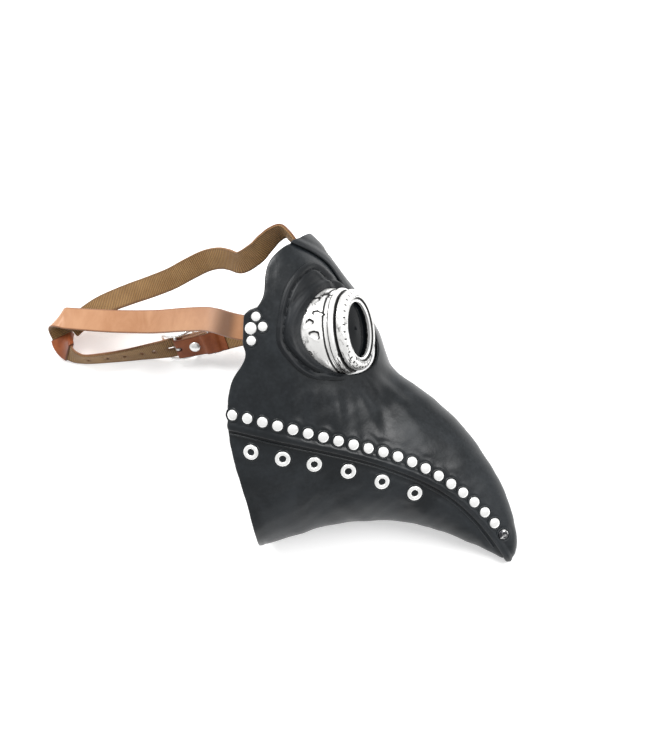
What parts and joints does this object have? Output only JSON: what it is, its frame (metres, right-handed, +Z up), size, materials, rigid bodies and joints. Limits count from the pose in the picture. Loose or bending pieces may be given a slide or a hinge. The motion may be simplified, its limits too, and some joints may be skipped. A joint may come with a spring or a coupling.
{
  "type": "plague doctor mask",
  "caption": "Long-beaked rubber mask with round silver eyepieces, studded upper beak, vented lower jaw and a buckled leather head harness, lying on its side.",
  "frame": {"origin": "centre of the lying mask's footprint, on the floor that it lies on", "axes": "+Z up from the floor; +X from the strap's far bend towards the beak; +Y towards the forehead"},
  "size_m": [0.429, 0.2697, 0.1573],
  "materials": {
    "black_rubber": "satin",
    "black_leather": "satin",
    "black_plastic": "matte",
    "silver_paint": "antiqued satin",
    "smoked_lens": "gloss",
    "chrome": "polished",
    "steel": "satin",
    "tan_leather": "smooth satin",
    "brown_leather": "satin",
    "olive_webbing": "ribbed matte"
  },
  "bodies": {
    "mask": {"beak_studs_left": "chrome", "beak_studs_right": "chrome", "brow_band": "black_leather", "eye_patch_left": "black_leather", "eye_patch_right": "black_leather", "eyepiece_barrel_left": "silver_paint", "eyepiece_barrel_right": "silver_paint", "eyepiece_clamp_collar_left": "black_plastic", "eyepiece_clamp_collar_right": "black_plastic", "eyepiece_front_rim_left": "silver_paint", "eyepiece_front_rim_right": "silver_paint", "eyepiece_middle_ring_left": "silver_paint", "eyepiece_middle_ring_right": "silver_paint", "forehead_strap_rivet": "chrome", "forehead_studs": "chrome", "jaw_eyelet_washers_left": "steel", "jaw_eyelet_washers_right": "steel", "jaw_eyelets_left": "chrome", "jaw_eyelets_right": "chrome", "lens_gasket_left": "black_plastic", "lens_gasket_right": "black_plastic", "lens_left": "smoked_lens", "lens_right": "smoked_lens", "lens_wire_ring_left": "chrome", "lens_wire_ring_right": "chrome", "lower_jaw": "black_rubber", "stud_washers_left": "steel", "stud_washers_right": "steel", "temple_rivet_washer_left": "steel", "temple_rivet_washer_right": "steel", "temple_strap_rivet_left": "chrome", "temple_strap_rivet_right": "chrome", "temple_studs_left": "chrome", "temple_studs_right": "chrome", "top_strap_facing": "tan_leather", "top_strap_webbing": "olive_webbing", "upper_shell": "black_rubber"},
    "harness": {"buckle_chape": "brown_leather", "chape_rivet": "chrome", "long_strap_facing": "tan_leather", "long_strap_webbing": "olive_webbing", "short_strap_facing": "tan_leather", "short_strap_webbing": "olive_webbing", "top_strap_loop": "tan_leather"},
    "buckle_frame": {"buckle_frame": "chrome"},
    "buckle_prong": {"buckle_prong": "chrome"},
    "keeper": {"keeper_ring": "chrome"}
  },
  "joints": [
    {"name": "harness_swing", "type": "hinge", "parent": "mask", "child": "harness", "pos_m": [-0.00578, 0.04594, 0.08718], "axis": [0.1379, -0.2671, 0.9537], "range_deg": [-10, 10], "deforming": ["long_strap_facing", "long_strap_webbing", "short_strap_facing", "short_strap_webbing", "top_strap_facing", "top_strap_loop", "top_strap_webbing"]},
    {"name": "buckle_tilt", "type": "hinge", "parent": "harness", "child": "buckle_frame", "pos_m": [-0.08945, 0.05177, 0.01656], "axis": [0.1372, -0.5477, -0.8254], "range_deg": [-4, 8], "deforming": ["long_strap_facing", "long_strap_webbing"]},
    {"name": "prong_lift", "type": "hinge", "parent": "buckle_frame", "child": "buckle_prong", "pos_m": [-0.08945, 0.05177, 0.01656], "axis": [0.1372, -0.5477, -0.8254], "range_deg": [0, 30]},
    {"name": "keeper_slide", "type": "slide", "parent": "harness", "child": "keeper", "axis": [0.9702, 0.1323, 0.2029], "range_m": [-0.0025, 0.0025]}
  ]
}
